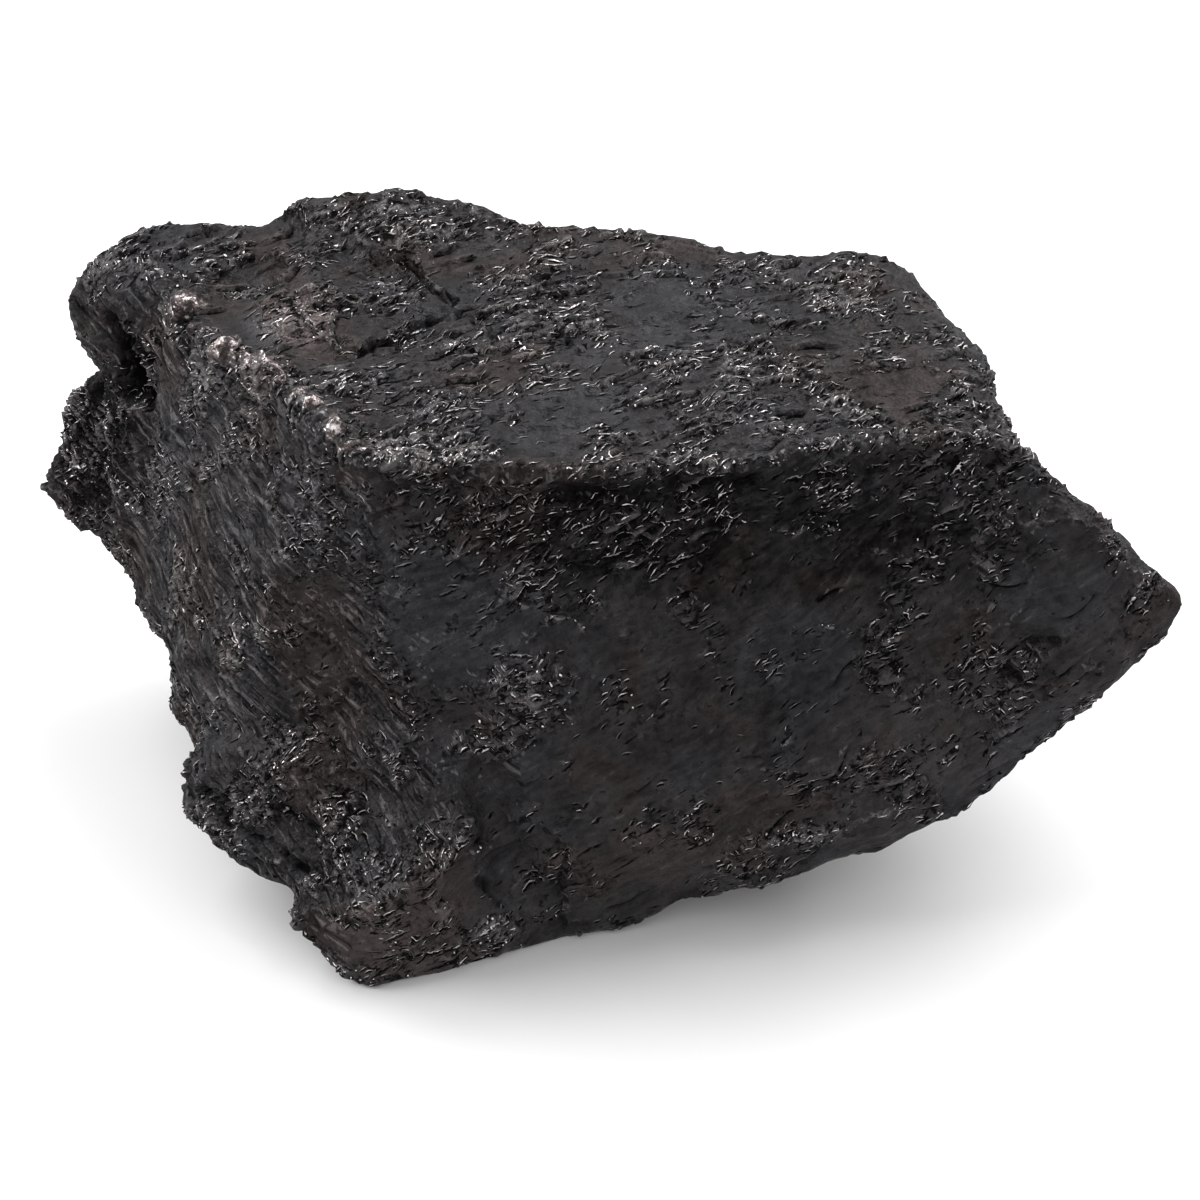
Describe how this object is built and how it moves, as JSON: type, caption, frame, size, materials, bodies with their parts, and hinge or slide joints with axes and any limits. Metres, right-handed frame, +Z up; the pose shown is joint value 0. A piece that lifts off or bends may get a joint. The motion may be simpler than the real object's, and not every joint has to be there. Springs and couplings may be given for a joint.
{
  "type": "meteorite fragment",
  "caption": "Dark angular meteorite fragment with a flat rough top, a broad broken front, a pointed beak and a lumpy foot, lying on a flat broken facet.",
  "frame": {"origin": "on the resting facet, under the middle of the stone's bounding box", "axes": "+X along the stone's longest way, to the beak; -Y towards the broad broken front; +Z up from the resting facet"},
  "size_m": [0.082, 0.0468, 0.0385],
  "materials": {
    "stone": "rough near-black slate with brown tints, glossy on worn rims and small glinting grains"
  },
  "bodies": {
    "root": {"meteorite_fragment": "stone"}
  },
  "joints": []
}
